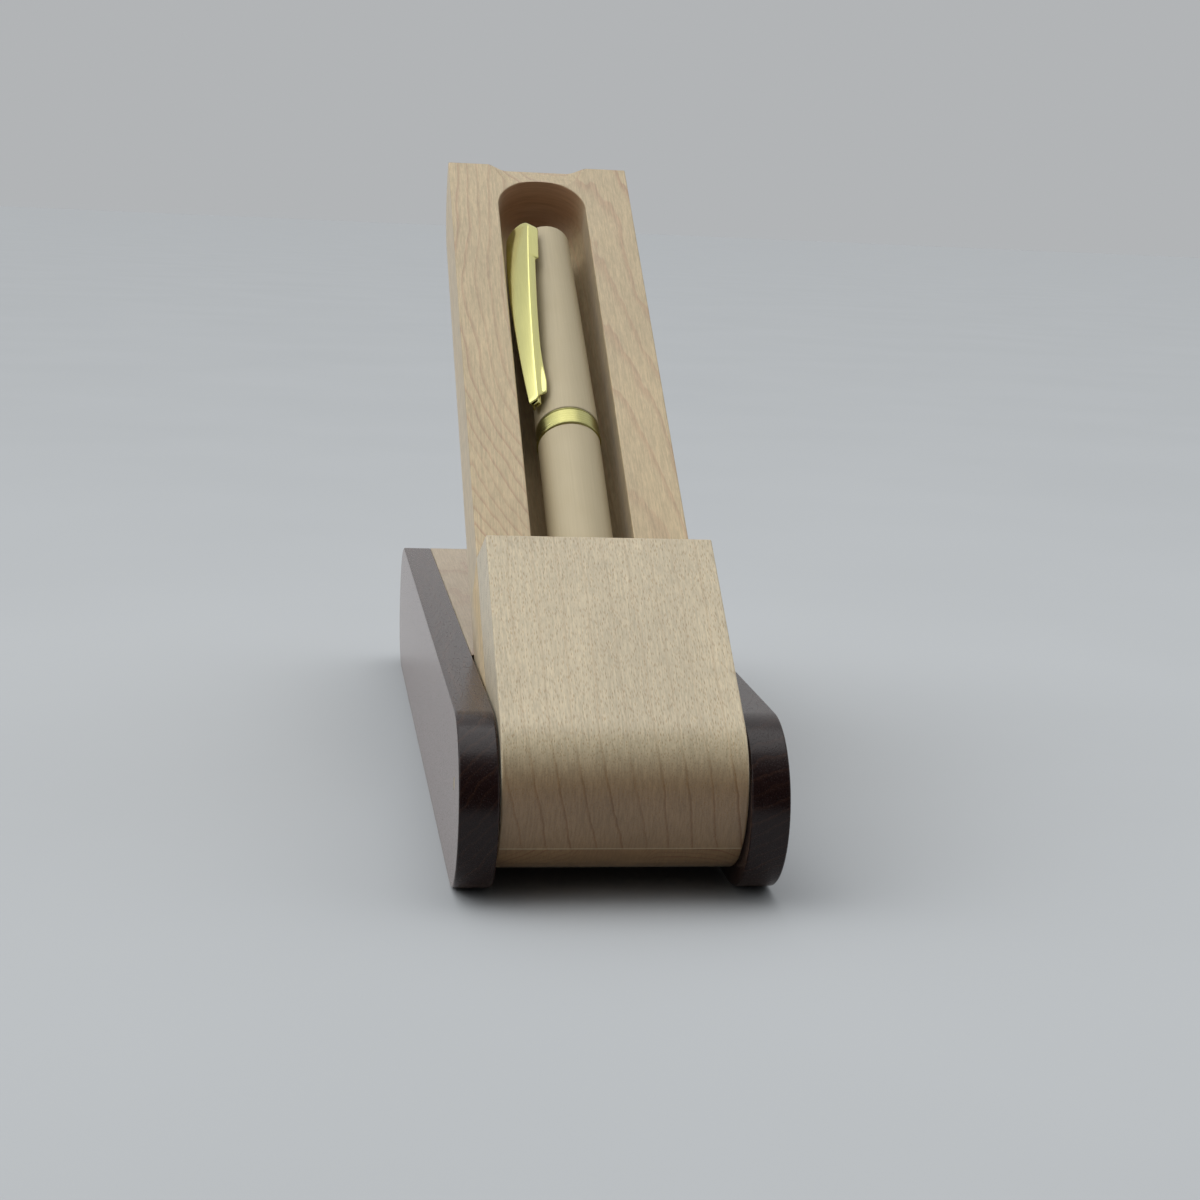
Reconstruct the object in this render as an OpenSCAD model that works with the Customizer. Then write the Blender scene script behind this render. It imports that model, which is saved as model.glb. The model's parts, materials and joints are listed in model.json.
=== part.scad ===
// Flip-out display box for one pen. Two side panels and a deck board make a case that is
// open below. A slotted tray turns on two pins at the front end of the case: closed, it lies
// in the case under the deck; opened, it has swung over the front and leans back on the deck
// edge, as it is drawn here. The pen lies in the slot, with its nose in the pocket block.
// Millimetres. +Z up, +Y from the pivot end to the far end, origin under the case's middle.

/* [Case] */
// Width over the two side panels
case_w = 50; // [44:0.5:64]
// Height of the side panels, whose ends are full half rounds
case_h = 27.5; // [25.5:0.5:34]
// Thickness of each side panel
panel_t = 6; // [4:0.5:8]
// Thickness of the deck board
deck_t = 5.5; // [4:0.5:7]

/* [Pivot] */
// Diameter of the two pivot pins
pin_d = 2; // [1.5:0.1:3]
// Distance of the pin axis from the front end of the case
pivot_back = 10; // [8:0.5:13]
// Height of the pin axis above the table
pivot_h = 17; // [15.5:0.25:18.5]
// Length of each pin inside the pocket block
pin_reach = 7; // [4:0.5:8]
// Radial running clearance of the pins in the pocket block
pin_clear = 0.05; // [0.02:0.01:0.1]

/* [Tray] */
// Gap between the tray and each side panel
side_gap = 0.3; // [0.2:0.05:0.5]
// Gap between the closed tray and the table
table_gap = 0.3; // [0.2:0.05:0.5]
// Length of the pocket block along its top
block_l = 53; // [46:0.5:64]
// Wood between the pin axis and the tray's face below it, on which the block is glued
glue_drop = 3.25; // [2:0.05:5]
// Slope of the block's end and of the deck's front, from upright
joint_slope = 32; // [22:1:40]
// Gap along the top between the block's end and the deck
swing_gap = 0.4; // [0.3:0.05:0.6]
// Gap between the open tray's back and the deck edge that stops it
stop_gap = 0.05; // [0.02:0.01:0.2]
// Solid wood from the front end of the tray to the slot
front_wall = 16; // [15:0.5:22]
// Solid wood from the slot to the far end of the tray
end_wall = 5.5; // [4.5:0.5:12]
// Width of the finger groove in the far end of the tray's face
groove_w = 22.5; // [14:0.5:28]
// Depth of the finger groove
groove_d = 1.6; // [0.8:0.1:2.4]
// Width of each sloped side of the finger groove
groove_slope = 5; // [2:0.5:6]
// Length over which the finger groove runs out towards the slot
groove_run = 6; // [4:0.5:9]

/* [Slot] */
// Room in the slot's width beside the pen
slot_room = 5.9; // [5:0.1:8]
// Radius of the slot's bottom corners
slot_round = 6; // [3:0.5:7]
// Shift of the pen to the right of the slot's middle
pen_shift = 0.4; // [0:0.1:1.5]
// Gap between the pen and the bottom of the slot
pen_seat = 0.25; // [0.2:0.05:0.6]
// Wood under the slot
floor_t = 2.9; // [2:0.1:4.5]
// Height of the pocket in the block above the tray's face
pocket_rise = 2.7; // [2.4:0.1:4]
// Free length of the slot above the pen
head_room = 16; // [14:0.5:20]
// Gap between the extended point and the lower end of the slot
point_gap = 1; // [1:0.1:3]

/* [Pen] */
// Diameter of the band in the middle of the pen, its widest place
band_d = 12; // [11.6:0.1:13]
// Length of the band
band_l = 4.2; // [3:0.1:5]
// Diameter of the cap where it meets the band
cap_d = 11.8; // [11.4:0.1:12]
// Diameter of the cap at its top end
cap_top_d = 9.8; // [8.8:0.1:10.6]
// Length of the cap
cap_l = 57.3; // [54:0.1:66]
// Radius of the cap's top edge
cap_edge = 0.8; // [0.4:0.1:1.2]
// Diameter of the hollow in the upper part of the cap
cap_bore_d = 6.4; // [5:0.1:6.8]
// Thickness of the cap's closed top
cap_roof = 2.4; // [1.5:0.1:4]
// Gap between the cap and the band, which turn against each other
turn_gap = 0.15; // [0.1:0.05:0.3]
// Diameter of the barrel
barrel_d = 11.5; // [11:0.1:12]
// Length of the barrel
barrel_l = 58.6; // [48:0.1:66]
// Length of the nose cone
nose_l = 15.4; // [13:0.2:18]
// Diameter of the nose cone where it meets the barrel
nose_d = 10.6; // [9.6:0.1:11]
// Diameter of the nose cone at its tip
nose_tip_d = 3.4; // [3.2:0.1:4]

/* [Clip] */
// Turn of the clip from the tray's face direction to the left
clip_angle = 52; // [45:1:60]
// Length of the clip
clip_l = 54; // [44:0.5:54.5]
// Distance of the clip's top end below the cap's top end
clip_drop = 1.2; // [0:0.1:2]
// Width of the clip near its top
clip_w = 6.4; // [5.6:0.1:7.2]
// Width of the clip at its tip
clip_tip_w = 2.6; // [2.2:0.1:5]
// Height of the clip's outer face above the top of the cap
clip_stand = 4; // [3.4:0.1:4.2]
// Depth of the clip's turned-down sides near its top
clip_side = 2.8; // [2.4:0.1:3.2]
// Depth of the clip's turned-down sides at its tip
clip_tip_side = 2.4; // [1.4:0.1:2.6]
// Thickness of the clip's sheet
clip_t = 0.6; // [0.4:0.05:0.8]
// Distance of the clip's tab below the cap's top end
tab_drop = 8; // [6:0.5:12]
// Length of the tab along the pen
tab_l = 4; // [3:0.5:6]
// Width of the tab
tab_w = 2.4; // [1.6:0.1:3]

/* [Twist mechanism] */
// Outer diameter of the twist sleeve in the cap
sleeve_d = 8; // [7.4:0.1:8.4]
// Length of the sleeve in the cap
sleeve_l = 24; // [18:0.5:30]
// Diameter of the sleeve's spigot, on which the barrel turns
spigot_d = 7.2; // [6.4:0.1:7.4]
// Length of the spigot in the barrel
spigot_l = 12; // [8:0.5:20]
// Radial running clearance of the spigot and of the refill
turn_clear = 0.05; // [0.02:0.01:0.1]
// Diameter of the band's seat on the barrel
seat_d = 9.4; // [8.8:0.1:10]
// Length of the nose cone's socket in the barrel
socket_l = 7; // [5:0.5:12]
// Diameter of the refill tube
refill_d = 3; // [2.6:0.1:3.2]
// Thickness of the sleeve's closed end
sleeve_wall = 2; // [1:0.1:4]
// End play of the refill tube in the sleeve and over the nose cone's guide
refill_play = 1; // [0.5:0.1:2]
// Diameter of the writing point
point_d = 2.3; // [2:0.1:2.4]
// Length of the writing point, with its cone
point_l = 8; // [7.5:0.1:10]
// Length of the writing point's cone
point_cone = 2; // [1:0.1:3]
// Diameter of the ball at the end of the writing point
ball_d = 0.7; // [0.5:0.1:1]
// Distance that a twist sends the point out
point_out = 4; // [3:0.1:5]
// Depth of the retracted point inside the nose cone
point_in = 0.6; // [0.4:0.1:1.2]

/* [Hidden] */
$fn = 72;
// Overshoot of cutting solids
cut = 1;
// Thickness of the end slices that a tapered shape is drawn between
slice = 0.01;
maple = [0.75, 0.67, 0.55];
pale_maple = [0.78, 0.73, 0.61];
rosewood = [0.16, 0.11, 0.11];
brass = [0.72, 0.6, 0.3];
gold = [0.85, 0.8, 0.5];
champagne = [0.75, 0.68, 0.55];
steel = [0.6, 0.6, 0.62];

// Lengths along the tray, measured from its front end
pen_l = nose_l + barrel_l + band_l + cap_l;
nose_y = front_wall + point_gap + point_out;
slot_end = nose_y + pen_l + head_room;
case_l = slot_end + end_wall;
end_r = case_h / 2;

// Heights and widths of the closed tray
inner_w = case_w - 2 * panel_t;
tray_w = inner_w - 2 * side_gap;
deck_under = case_h - deck_t;
face_h = pivot_h - glue_drop;
face_rise = face_h - end_r;
face_end = case_l - end_r + sqrt(end_r * end_r - face_rise * face_rise);
slot_w = band_d + slot_room;
slot_floor = table_gap + floor_t;
pen_z = slot_floor + pen_seat + band_d / 2;
clip_rise = cap_top_d / 2 + clip_stand;

// The deck's front edge, along the top, from which it slopes back like the block's end
deck_front = block_l + swing_gap;

// Lean of the open tray, whose back stops against the deck's front edge
stop_y = deck_front - pivot_back;
stop_z = case_h - pivot_h;
back_r = pivot_h - table_gap + stop_gap;
lean = atan2(stop_z, stop_y) + asin(back_r / norm([stop_y, stop_z]));

// Heights along the pen, measured from its nose
barrel_z = nose_l;
band_z = barrel_z + barrel_l;
cap_z = band_z + band_l;
refill_z = point_in + point_l;
bore_r = spigot_d / 2 + turn_clear;
refill_r = refill_d / 2 + turn_clear;
sleeve_z = cap_z + turn_gap;
refill_l = sleeve_z + sleeve_l - sleeve_wall - refill_play - refill_z;
cap_top = cap_z + cap_l;

// Places a piece given from the case's front end
module in_case() {
    translate([0, -case_l / 2, 0]) children();
}

// Places a piece of the tray, given as it lies closed, in the open position
module in_tray() {
    in_case()
        translate([0, pivot_back, pivot_h])
            rotate([lean, 0, 0])
                translate([0, -pivot_back, -pivot_h]) children();
}

// Places a piece of the pen, given upright on its nose with the tray's face towards -Y
module in_pen() {
    in_tray()
        translate([pen_shift, nose_y, pen_z])
            rotate([-90, 0, 0]) children();
}

// Side view of the closed box: a bar with half round ends
module side_outline() {
    translate([end_r, 0]) square([case_l - 2 * end_r, case_h]);
    translate([end_r, end_r]) circle(end_r);
    translate([case_l - end_r, end_r]) circle(end_r);
}

// The side view as a slab of a given width about the middle of the case
module slab(width) {
    rotate([90, 0, 90]) linear_extrude(width, center = true) side_outline();
}

// The slice of that slab between two lengths and two heights
module slab_slice(width, y0, y1, z0, z1) {
    intersection() {
        slab(width);
        translate([-width, y0, z0]) cube([2 * width, y1 - y0, z1 - z0]);
    }
}

// All that lies in front of the sloped joint, given by its length along the top
module before_joint(top_l) {
    run = tan(joint_slope);
    rotate([90, 0, 90]) linear_extrude(2 * case_w, center = true)
        polygon([[-cut, -cut], [top_l + (case_h + cut) * run, -cut],
            [top_l - cut * run, case_h + cut], [-cut, case_h + cut]]);
}

// A round bar along X from x0 to x1 on the pivot axis
module pivot_bar(radius, x0, x1) {
    translate([min(x0, x1), pivot_back, pivot_h])
        rotate([0, 90, 0]) cylinder(r = radius, h = abs(x1 - x0));
}

module side_panel(side) {
    difference() {
        translate([side * (case_w - panel_t) / 2, 0, 0]) slab(panel_t);
        pivot_bar(pin_d / 2, side * (inner_w / 2 - cut), side * (case_w / 2 + cut));
    }
}

module pivot_pin(side) {
    pivot_bar(pin_d / 2, side * (tray_w / 2 - pin_reach), side * case_w / 2);
}

// Half of the slot's section up to a given height: a wall, a rounded corner and the floor
module slot_half(top) {
    half_w = slot_w / 2;
    round_z = slot_floor + slot_round;
    intersection() {
        union() {
            translate([0, round_z]) square([half_w, top - round_z]);
            translate([0, slot_floor]) square([half_w - slot_round, slot_round]);
            translate([half_w - slot_round, round_z]) circle(slot_round);
        }
        square([half_w, top]);
    }
}

// The space of the slot up to a given height: a straight run and two half round ends
module slot_space(top) {
    y0 = front_wall + slot_w / 2;
    y1 = slot_end - slot_w / 2;
    translate([0, y1, 0]) rotate([90, 0, 0]) linear_extrude(y1 - y0) {
        slot_half(top);
        mirror([1, 0]) slot_half(top);
    }
    translate([0, y1, 0]) rotate_extrude(angle = 180) slot_half(top);
    translate([0, y0, 0]) rotate([0, 0, 180]) rotate_extrude(angle = 180) slot_half(top);
}

// Section of the finger groove, with sides that ease in and out
module groove_section() {
    steps = 10;
    flat = groove_w / 2 - groove_slope;
    right = [for (i = [0 : steps])
        [flat + groove_slope * i / steps, -groove_d * (1 + cos(180 * i / steps)) / 2]];
    left = [for (i = [steps : -1 : 0]) [-right[i][0], right[i][1]]];
    polygon(concat(left, right, [[groove_w / 2, cut], [-groove_w / 2, cut]]));
}

// The groove is deepest at the far edge of the face and runs out along it
module finger_groove() {
    translate([0, face_end, face_h])
        rotate([-atan2(groove_d, groove_run), 0, 0])
            translate([0, end_r, 0])
                rotate([90, 0, 0]) linear_extrude(end_r + 2 * groove_run) groove_section();
}

// A straight wedge along Z for the clip, with its half widths and low edges at both ends
module clip_wedge(z0, z1, half0, half1, low0, low1, high) {
    hull() {
        translate([-half0, low0, z0]) cube([2 * half0, high - low0, slice]);
        translate([-half1, low1, z1 - slice]) cube([2 * half1, high - low1, slice]);
    }
}

module left_side_panel() {
    color(rosewood) in_case() side_panel(-1);
}

module right_side_panel() {
    color(rosewood) in_case() side_panel(1);
}

module deck_board() {
    color(maple) in_case() difference() {
        slab_slice(inner_w, -cut, case_l + cut, deck_under, case_h + cut);
        before_joint(deck_front);
    }
}

module left_pivot_pin() {
    color(brass) in_case() pivot_pin(-1);
}

module right_pivot_pin() {
    color(brass) in_case() pivot_pin(1);
}

module pen_tray() {
    color(maple) in_tray() difference() {
        slab_slice(tray_w, -cut, case_l + cut, table_gap, face_h);
        slot_space(face_h + cut);
        finger_groove();
    }
}

module pocket_block() {
    color(pale_maple) in_tray() difference() {
        intersection() {
            slab_slice(tray_w, -cut, case_l + cut, face_h, case_h + cut);
            before_joint(block_l);
        }
        slot_space(face_h + pocket_rise);
        for (side = [-1, 1])
            pivot_bar(pin_d / 2 + pin_clear, side * (tray_w / 2 - pin_reach - side_gap),
                side * (tray_w / 2 + cut));
    }
}

// The clip stands on -Y of the cap, turned to its angle
module at_clip() {
    rotate([0, 0, -clip_angle]) rotate([0, 0, 180]) children();
}

// The tab of the clip, from a given distance off the axis
module clip_tab(inner) {
    outer = clip_rise - clip_t;
    translate([-tab_w / 2, inner, cap_top - tab_drop - tab_l])
        cube([tab_w, outer - inner, tab_l]);
}

module pen_cap() {
    edge_z = cap_top - cap_edge;
    top_r = cap_top_d / 2;
    color(champagne) in_pen() difference() {
        union() {
            translate([0, 0, sleeve_z])
                cylinder(r1 = cap_d / 2, r2 = top_r, h = edge_z - sleeve_z);
            translate([0, 0, edge_z]) cylinder(r = top_r - cap_edge, h = cap_edge);
            translate([0, 0, edge_z])
                rotate_extrude() translate([top_r - cap_edge, 0]) circle(cap_edge);
        }
        translate([0, 0, sleeve_z - cut]) cylinder(d = sleeve_d, h = sleeve_l + cut);
        translate([0, 0, sleeve_z]) cylinder(d = cap_bore_d, h = cap_top - cap_roof - sleeve_z);
        at_clip() clip_tab(cap_bore_d / 2 - cut);
    }
}

module pen_clip() {
    z1 = cap_top - clip_drop;
    z0 = z1 - clip_l;
    half0 = clip_tip_w / 2;
    half1 = clip_w / 2;
    low0 = clip_rise - clip_tip_side;
    low1 = clip_rise - clip_side;
    color(gold) in_pen() at_clip() {
        difference() {
            intersection() {
                clip_wedge(z0, z1, half0, half1, low0, low1, clip_rise);
                translate([0, clip_rise + cut, 0])
                    rotate([90, 0, 0]) linear_extrude(clip_side + 2 * cut) {
                        translate([-half1, z0]) square([clip_w, clip_l - half1]);
                        translate([0, z1 - half1]) circle(half1);
                    }
            }
            clip_wedge(z0 - cut, z1 - clip_t - half1 / 2, half0 - clip_t, half1 - clip_t,
                low0 - cut, low1 - cut, clip_rise - clip_t);
        }
        clip_tab(cap_bore_d / 2);
    }
}

module pen_twist_sleeve() {
    low_z = cap_z - spigot_l;
    color(brass) in_pen() difference() {
        union() {
            translate([0, 0, low_z]) cylinder(d = spigot_d, h = spigot_l + turn_gap + cut);
            translate([0, 0, sleeve_z]) cylinder(d = sleeve_d, h = sleeve_l);
        }
        translate([0, 0, low_z - cut])
            cylinder(r = refill_r, h = sleeve_z + sleeve_l - sleeve_wall - low_z + cut);
    }
}

module pen_centre_band() {
    color(gold) in_pen() translate([0, 0, band_z]) difference() {
        cylinder(d = band_d, h = band_l);
        translate([0, 0, -cut]) cylinder(d = seat_d, h = band_l + 2 * cut);
    }
}

module pen_barrel() {
    color(champagne) in_pen() difference() {
        union() {
            translate([0, 0, barrel_z]) cylinder(d = barrel_d, h = barrel_l);
            translate([0, 0, band_z - cut]) cylinder(d = seat_d, h = band_l + cut);
        }
        translate([0, 0, barrel_z - cut]) cylinder(r = bore_r, h = barrel_l + band_l + 2 * cut);
    }
}

module pen_nose_cone() {
    guide_l = refill_z - point_out - refill_play;
    color(gold) in_pen() difference() {
        union() {
            cylinder(d1 = nose_tip_d, d2 = nose_d, h = nose_l);
            translate([0, 0, nose_l - cut]) cylinder(r = bore_r, h = socket_l + cut);
        }
        translate([0, 0, -cut]) cylinder(r = point_d / 2 + turn_clear, h = guide_l + 2 * cut);
        translate([0, 0, guide_l]) cylinder(r = refill_r, h = nose_l + socket_l);
    }
}

module refill_tube() {
    color(steel) in_pen() translate([0, 0, refill_z]) cylinder(d = refill_d, h = refill_l);
}

module refill_point() {
    color(brass) in_pen() translate([0, 0, point_in]) {
        cylinder(d1 = ball_d, d2 = point_d, h = point_cone);
        translate([0, 0, point_cone]) cylinder(d = point_d, h = point_l - point_cone);
    }
}

left_side_panel();
right_side_panel();
deck_board();
left_pivot_pin();
right_pivot_pin();
pen_tray();
pocket_block();
pen_cap();
pen_clip();
pen_twist_sleeve();
pen_centre_band();
pen_barrel();
pen_nose_cone();
refill_tube();
refill_point();
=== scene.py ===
import json
import math

import bmesh
import bpy
from bpy.props import FloatProperty, FloatVectorProperty, PointerProperty
from mathutils import Matrix, Vector


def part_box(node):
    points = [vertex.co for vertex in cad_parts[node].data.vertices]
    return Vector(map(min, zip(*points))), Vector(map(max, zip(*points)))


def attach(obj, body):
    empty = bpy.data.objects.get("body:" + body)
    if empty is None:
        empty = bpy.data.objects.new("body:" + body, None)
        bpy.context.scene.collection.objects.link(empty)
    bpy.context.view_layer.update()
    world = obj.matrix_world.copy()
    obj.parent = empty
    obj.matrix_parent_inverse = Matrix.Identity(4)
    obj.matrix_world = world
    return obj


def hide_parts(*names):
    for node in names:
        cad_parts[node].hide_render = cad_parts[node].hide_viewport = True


bl_info = {
    "name": "Flip-out Pen Box",
    "version": (1, 0, 0),
    "blender": (4, 5, 0),
    "location": "View3D > Sidebar > Pen Box",
    "description": "Builds the visible pieces of a flip-out pen box on its measured frame",
    "category": "Add Mesh",
}

# The frame and the three placings that the pieces are measured in
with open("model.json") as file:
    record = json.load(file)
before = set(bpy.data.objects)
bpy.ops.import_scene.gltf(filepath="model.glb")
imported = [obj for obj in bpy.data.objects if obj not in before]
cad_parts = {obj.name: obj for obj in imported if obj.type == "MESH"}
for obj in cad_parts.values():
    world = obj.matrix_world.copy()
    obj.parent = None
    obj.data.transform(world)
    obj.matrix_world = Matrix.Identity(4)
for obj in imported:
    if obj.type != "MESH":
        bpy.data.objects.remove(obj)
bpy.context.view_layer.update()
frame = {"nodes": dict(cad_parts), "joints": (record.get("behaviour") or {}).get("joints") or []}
MM = 0.001
JOINTS = {joint["name"]: joint for joint in frame["joints"]}
PIVOT = Vector(JOINTS["tray_flip"]["pos_m"])
NOSE = Vector(JOINTS["pen_twist"]["pos_m"])
PEN_AXIS = Vector(JOINTS["pen_slide"]["axis"])
LEAN = math.atan2(PEN_AXIS.z, PEN_AXIS.y)
FRONT_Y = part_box("left_side_panel")[0].y
CASE = Matrix.Translation((0, FRONT_Y, 0))
TRAY = (Matrix.Translation(PIVOT) @ Matrix.Rotation(LEAN, 4, "X")
        @ Matrix.Translation((0, FRONT_Y - PIVOT.y, -PIVOT.z)))
PEN = Matrix.Translation(NOSE) @ Matrix.Rotation(LEAN - math.pi / 2, 4, "X")


def spread(node, place):
    """The lowest and highest corner of a frame node, measured in one of the placings."""
    back = place.inverted()
    points = [back @ v.co for v in frame["nodes"][node].data.vertices]
    return (Vector([min(p[i] for p in points) for i in range(3)]),
            Vector([max(p[i] for p in points) for i in range(3)]))


PANEL_LOW, PANEL_HIGH = spread("right_side_panel", CASE)
DECK_LOW, DECK_HIGH = spread("deck_board", CASE)
PIN_LOW, PIN_HIGH = spread("right_pivot_pin", CASE)
TRAY_LOW, TRAY_HIGH = spread("pen_tray", TRAY)
BLOCK_LOW, BLOCK_HIGH = spread("pocket_block", TRAY)
CAP_LOW, CAP_HIGH = spread("pen_cap", PEN)
BAND_LOW, BAND_HIGH = spread("pen_centre_band", PEN)
BARREL_LOW, BARREL_HIGH = spread("pen_barrel", PEN)
CONE_HIGH = spread("pen_nose_cone", PEN)[1]
SLEEVE_HIGH = spread("pen_twist_sleeve", PEN)[1]

# Fineness of the meshes
BAR_STEPS, ROD_SIDES, LATHE_STEPS = 40, 48, 128
SLOT_STEPS, SLOT_FLOOR_STEPS, GROOVE_STEPS, CLIP_ROWS = 24, 10, 12, 34
MERGE = 0.002 * MM
CUT_ROOM = 0.001 * MM
SHARP, EASED, LEVEL = math.radians(60), math.radians(40), math.radians(0.5)


def length(name, description, default):
    """A property for one length."""
    return FloatProperty(name=name, description=description, default=default,
                         min=0, precision=5, unit="LENGTH", subtype="DISTANCE")


def colour(name, description, default):
    """A property for one colour, in linear light."""
    return FloatVectorProperty(name=name, description=description, default=default,
                               size=3, min=0, max=1, subtype="COLOR")


def slant(name, description, degrees):
    """A property for one angle."""
    return FloatProperty(name=name, description=description, default=math.radians(degrees), subtype="ANGLE")


def level(name, description, default):
    """A property for the strength of a light."""
    return FloatProperty(name=name, description=description, default=default, min=0)


class PenBoxCase(bpy.types.PropertyGroup):
    """Sizes of the case and of its pins"""

    panel_t: length("Panel thickness", "Thickness of each side panel", PANEL_HIGH.x - PANEL_LOW.x)
    panel_ease: length("Panel edges", "Radius of the panels' edges", 0.35 * MM)
    deck_ease: length("Deck edges", "Radius of the deck's edges", 0.15 * MM)
    pin_ease: length("Pin edges", "Radius of the pins' rims", 0.12 * MM)


class PenBoxTray(bpy.types.PropertyGroup):
    """Sizes of the tray, its slot and the pocket block"""

    slot_w: length("Slot width", "Width of the slot", 17.9 * MM)
    slot_start: length("Slot start", "Distance of the slot from the front end", 16 * MM)
    slot_end: length("Slot end", "Distance of the slot's far end from the front end", 172.5 * MM)
    slot_floor: length("Slot floor", "Height of the slot's floor in the closed tray", 3.2 * MM)
    slot_round: length("Slot rounding", "Radius of the slot's bottom corners", 6 * MM)
    pocket_rise: length("Pocket height", "Height of the pocket above the tray's face", 2.7 * MM)
    joint_slope: slant("Joint slope", "Slope of the block's end and the deck's front", 32)
    groove_w: length("Groove width", "Width of the finger groove", 22.5 * MM)
    groove_d: length("Groove depth", "Depth of the finger groove", 1.6 * MM)
    groove_slope: length("Groove sides", "Width of each sloped side of the groove", 5 * MM)
    groove_run: length("Groove run", "Length over which the groove runs out", 6 * MM)
    pin_hole: length("Pin hole", "Radius of the pin holes in the pocket block", 1.05 * MM)
    pin_reach: length("Pin hole depth", "Depth of the pin holes", 7.3 * MM)
    edge: length("Tray edges", "Radius of the tray's edges", 0.3 * MM)


class PenBoxPen(bpy.types.PropertyGroup):
    """Sizes of the pen"""

    cap_low_r: length("Cap radius", "Radius of the cap where it meets the band", 5.9 * MM)
    cap_top_r: length("Cap top radius", "Radius of the cap at its top end", 4.9 * MM)
    cap_edge: length("Cap edge", "Radius of the cap's top edge", 0.8 * MM)
    cap_bore: length("Cap bore", "Radius of the hollow in the cap", 3.2 * MM)
    cap_roof: length("Cap roof", "Thickness of the cap's closed top", 2.4 * MM)
    seat_r: length("Band seat", "Radius of the band's seat on the barrel", 4.7 * MM)
    bore_r: length("Barrel bore", "Radius of the barrel's bore", 3.65 * MM)
    tip_r: length("Nose tip", "Radius of the nose cone's tip", 1.7 * MM)
    clip_l: length("Clip length", "Length of the clip", 54 * MM)
    clip_drop: length("Clip drop", "Distance of the clip's top end below the cap's", 1.2 * MM)
    clip_w: length("Clip width", "Width of the clip at its shoulder", 6.4 * MM)
    clip_tip_w: length("Clip tip width", "Width of the clip at its tip", 2.3 * MM)
    clip_rise: length("Clip rise", "Distance of the clip's face from the pen's axis", 8.9 * MM)
    clip_t: length("Clip sheet", "Thickness of the clip's sheet", 0.6 * MM)
    clip_turn: slant("Clip turn", "Turn of the clip to the left", 52)
    shoulder: length("Clip shoulder", "How far the clip's outer side stands out at its shoulder", 0.5 * MM)
    tab_w: length("Tab width", "Width of the clip's tab", 2.4 * MM)
    tab_l: length("Tab length", "Length of the clip's tab along the pen", 4 * MM)
    tab_drop: length("Tab drop", "Distance of the tab's top below the cap's top end", 8 * MM)
    window_room: length("Window room", "Room around the tab in the cap's window", 0.05 * MM)


class PenBoxFinish(bpy.types.PropertyGroup):
    """Colours of the finishes"""

    maple: colour("Maple", "Colour of the tray's wood", (0.55, 0.42, 0.235))
    maple_line: colour("Maple lines", "Colour of the growth lines in the maple", (0.40, 0.21, 0.115))
    deck: colour("Deck maple", "Colour of the deck's wood", (0.585, 0.495, 0.335))
    pale_maple: colour("Pale maple", "Colour of the pocket block's wood", (0.62, 0.515, 0.34))
    pale_line: colour("Pale maple flecks", "Colour of the block's flecks and lines", (0.36, 0.215, 0.095))
    # End-grain tint: partly the end grain's own darker tone, partly painted shade on the boards' end faces
    end_grain_and_shade: colour("End grain", "Tint of the wood on its end grain", (0.51, 0.39, 0.315))
    burn: colour("Cutter burn", "Colour of the scorched end of the slot", (0.5, 0.285, 0.16))
    rosewood: colour("Rosewood", "Colour of the side panels", (0.014, 0.006, 0.0055))
    rosewood_streak: colour("Rosewood streaks", "Colour of the panels' streaks", (0.06, 0.027, 0.016))
    champagne: colour("Champagne", "Colour of the pen's lacquer", (0.53, 0.44, 0.277))
    gold: colour("Gold", "Colour of the pen's plated trim", (0.60, 0.565, 0.225))
    brass: colour("Brass", "Colour of the pins", (0.62, 0.47, 0.2))
    steel: colour("Steel", "Colour of the refill tube", (0.42, 0.42, 0.44))


class PenBoxStage(bpy.types.PropertyGroup):
    """Floor, light and camera"""

    floor: colour("Floor", "Colour of the floor", (0.492, 0.507, 0.521))
    backdrop: colour("Backdrop", "Colour of the backdrop behind the floor", (0.445, 0.457, 0.468))
    lens: FloatProperty(name="Lens", description="Focal length of the camera on a 36 mm sensor, in mm",
                        default=60.8455, min=1)
    lamp: level("Lamp", "Strength of the overhead lamp", 0.75)
    tent: level("Tent", "Strength of the soft light from the tent's walls", 0.79)


# Mesh helpers
def to_mesh(bm, name):
    """Turns a bmesh into a mesh."""
    mesh = bpy.data.meshes.new(name)
    bm.to_mesh(mesh)
    bm.free()
    return mesh


def new_object(name, mesh, body, replaced, materials):
    """Links a finished mesh as a piece that rides on a body."""
    piece = bpy.data.objects.new(name, mesh)
    bpy.context.scene.collection.objects.link(piece)
    for material in materials:
        mesh.materials.append(material)
    for face in mesh.polygons:
        face.use_smooth = True
    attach(piece, body)
    if replaced:
        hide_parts(*replaced)
    return piece


def finish_piece(bm, name, place, body, replaced, materials, weighted=True):
    """Places a bmesh in the frame and makes it a piece."""
    bmesh.ops.transform(bm, matrix=place, verts=bm.verts)
    bmesh.ops.recalc_face_normals(bm, faces=bm.faces)
    for edge in bm.edges:
        edge.smooth = not (edge.is_manifold and edge.calc_face_angle() > SHARP)
    piece = new_object(name, to_mesh(bm, name), body, replaced, materials)
    if weighted:
        normals = piece.modifiers.new("Flat faces", "WEIGHTED_NORMAL")
        normals.mode = "FACE_AREA"
        normals.weight = 80
        normals.keep_sharp = True
    return piece


def box(size, centre):
    """A box of the given size about a centre."""
    bm = bmesh.new()
    bmesh.ops.create_cube(bm, size=1)
    bmesh.ops.scale(bm, vec=size, verts=bm.verts)
    bmesh.ops.translate(bm, vec=centre, verts=bm.verts)
    return bm


def round_edges(bm, edges, radius, segments):
    """Rounds edges and closes what meets in the middle."""
    bmesh.ops.bevel(bm, geom=edges, offset=radius, offset_type="OFFSET", segments=segments,
                    profile=0.5, affect="EDGES", clamp_overlap=True, material=-1)
    bmesh.ops.remove_doubles(bm, verts=bm.verts, dist=MERGE)


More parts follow.
